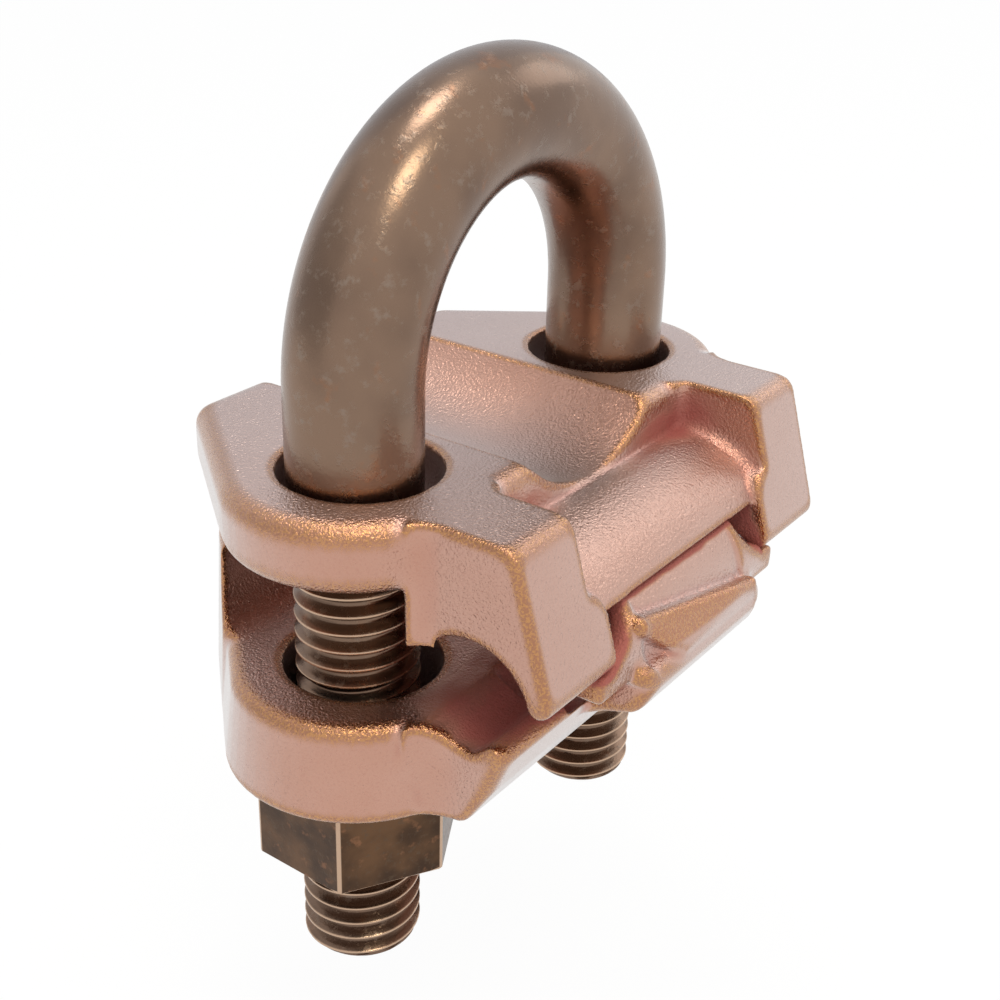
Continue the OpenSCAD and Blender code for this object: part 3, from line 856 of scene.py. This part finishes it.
print("castings are rounded on a grid of", VOXEL / MM, "mm")

# %% [markdown]
# What a point of the rounded casting would still move is a measure of the ridge or corner it sits on,
# and the cast finish reads that as edge and hollow. The fin at the keeper's front gets a painted
# highlight, and the walls of the leg holes get a grey painted shade, so their places are marked too.
# Each casting then rides on the body of its solid and stands in for it.

# %% Castings
KEEPER_GROW = 0.28 * MM
MEASURE_ROUNDS = 28
RIDGE_HEIGHT = 0.12 * MM
FIN_Y = -25.8 * MM
FIN_Z = -17.0 * MM
FIN_FADE = 0.6 * MM
HOLE_X = 21.0 * MM
HOLE_R = 8.0 * MM
HOLE_FADE = 0.3 * MM
CAST_SMOOTH = 180


# One on the fin's front facet, where a highlight is painted.
def fin_highlight_share(points):
    front = smoothstep((FIN_Y - points[:, 1]) / FIN_FADE)
    return front * smoothstep((points[:, 2] - FIN_Z) / FIN_FADE)


def bore_share(points):
    """One on the wall of a leg hole, and zero outside it."""
    away = np.hypot(np.abs(points[:, 0]) - HOLE_X, points[:, 1])
    return smoothstep((HOLE_R + 0.5 * HOLE_FADE - away) / HOLE_FADE)


def make_casting(node_name, piece_name, grow):
    mesh = remeshed_copy(node_name, piece_name)
    edges = np.empty(len(mesh.edges) * 2, dtype=np.int32)
    mesh.edges.foreach_get("vertices", edges)
    edges = edges.reshape(-1, 2)
    points, normals = round_off(mesh, edges, grow)
    lift = ((points - relaxed(points, edges, MEASURE_ROUNDS)) * normals).sum(1) / RIDGE_HEIGHT
    recess = recess_share(points, normals, edges)
    # The fin's painted highlight and the painted shade in the leg holes are marked here, with the edges,
    # hollows and recesses.
    store_values(mesh, {
        "edge": np.clip(lift, 0, 1),
        "hollow": np.clip(-lift, 0, 1),
        "recess": recess,
        "bore": bore_share(points),
        "fin_highlight": fin_highlight_share(points),
    })
    mesh.materials.clear()
    piece = link_piece(piece_name, mesh, CAST, CAST_SMOOTH)
    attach(piece, node_name)
    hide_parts(node_name)
    print(piece_name + ":", len(points), "points, ridges on", int((lift > 0.5).sum()),
          "recessed", int((recess > 0.5).sum()))
    return piece


saddle_casting = make_casting("saddle", "saddle_casting", 0)
keeper_casting = make_casting("keeper", "keeper_casting", KEEPER_GROW)

# %% [markdown]
# A hex nut is a stack of rings too. The columns are set closer at the six corners, so that each upright
# edge gets a narrow flat, which catches a pale line of light, and a painted highlight brightens those
# flats and the bevels as well. Going down the bore, over the lower face, up the flats and back over the
# upper face closes the skin. The bore has the same thread as the legs.

# %% Nuts
NUT_FLAT_R = 9.5 * MM
NUT_BEVEL = 0.2 * MM
NUT_COUNTERSINK = 0.55 * MM
BORE_PLAY = 0.06 * MM
NUT_FADE = 0.4 * PITCH
NUT_TURN = math.radians(29)
CORNER_HALF = math.radians(0.9)
CORNER_SHARE = 1.14
FLAT_STEPS = np.radians((-24, -18, -12, -6, 0, 6, 12, 18, 24))
# Wear and a painted highlight on the ring round the mouth of the bore.
MOUTH_WEAR_AND_HIGHLIGHT = 0.8
NUT_SMOOTH = 25


def nut_columns():
    """Angles round a nut, in order, and how far its outline is from the axis there."""
    half = math.pi / 6
    steps = np.concatenate(([-half + CORNER_HALF], FLAT_STEPS, [half - CORNER_HALF]))
    angles = np.concatenate([side * math.pi / 3 + half + steps for side in range(6)])
    turn = np.mod(angles + NUT_TURN, math.tau)
    order = np.argsort(turn)
    return turn[order], NUT_FLAT_R * np.tile(1 / np.cos(steps), 6)[order]


def nut_skin(outline, bore_r, bottom, top):
    """Rings of (radius, height, brightness of wear and painted highlight) from the foot of the bore round
    the outside to its head.
    """
    bore = np.full(len(outline), bore_r)
    mouth = bore + NUT_COUNTERSINK
    # A value of 1 paints a highlight along the bevels.
    return [
        (bore, bottom + NUT_COUNTERSINK, 0.0),
        (mouth, bottom, MOUTH_WEAR_AND_HIGHLIGHT),
        (mouth + NUT_BEVEL, bottom, 0.0),
        (outline - 2 * NUT_BEVEL, bottom, 0.0),
        (outline - NUT_BEVEL, bottom, 1.0),
        (outline, bottom + NUT_BEVEL, 1.0),
        (outline, bottom + 2 * NUT_BEVEL, 0.0),
        (outline, top - 2 * NUT_BEVEL, 0.0),
        (outline, top - NUT_BEVEL, 1.0),
        (outline - NUT_BEVEL, top, 1.0),
        (mouth, top, 0.0),
        (bore, top - NUT_COUNTERSINK, 0.0),
    ]


def make_nut(node_name, piece_name):
    low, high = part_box(node_name)
    bottom, top = low[2], high[2]
    centre_x = math.copysign(LEG_X, low[0] + high[0])
    turn, outline = nut_columns()
    columns = len(turn)
    bore_r = THREAD_R + BORE_PLAY
    sheet = thread_sheet(turn, top - NUT_COUNTERSINK, bottom + NUT_COUNTERSINK, NUT_FADE, NUT_FADE, bore_r)
    skin = nut_skin(outline, bore_r, bottom, top)
    rings = [(radius, height, 0.0) for radius, height, _ in sheet] + skin
    faces = sheet_faces(len(sheet), columns) + ring_faces(len(sheet) * columns, len(skin), columns)
    points = np.concatenate([
        np.column_stack((centre_x + r * np.cos(turn), r * np.sin(turn), np.broadcast_to(z, columns)))
        for r, z, _ in rings])
    # The corners and bevels get a value of 1: a painted highlight along the nut's edges.
    corner = (outline > NUT_FLAT_R * CORNER_SHARE).astype(float)
    wear_and_highlight = np.concatenate([
        np.maximum(value, corner) if radius is outline else np.full(columns, value)
        for radius, _, value in rings])
    mesh = mesh_from(piece_name, points, faces, {"wear_and_highlight": wear_and_highlight, "root": np.zeros(len(points))})
    piece = link_piece(piece_name, mesh, NUT, NUT_SMOOTH)
    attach(piece, node_name)
    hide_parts(node_name)
    print(piece_name + ":", len(mesh.polygons), "faces, from z", round(bottom, 4), "to", round(top, 4))
    return piece


near_nut = make_nut("nut_near", "near_hex_nut")
far_nut = make_nut("nut_far", "far_hex_nut")
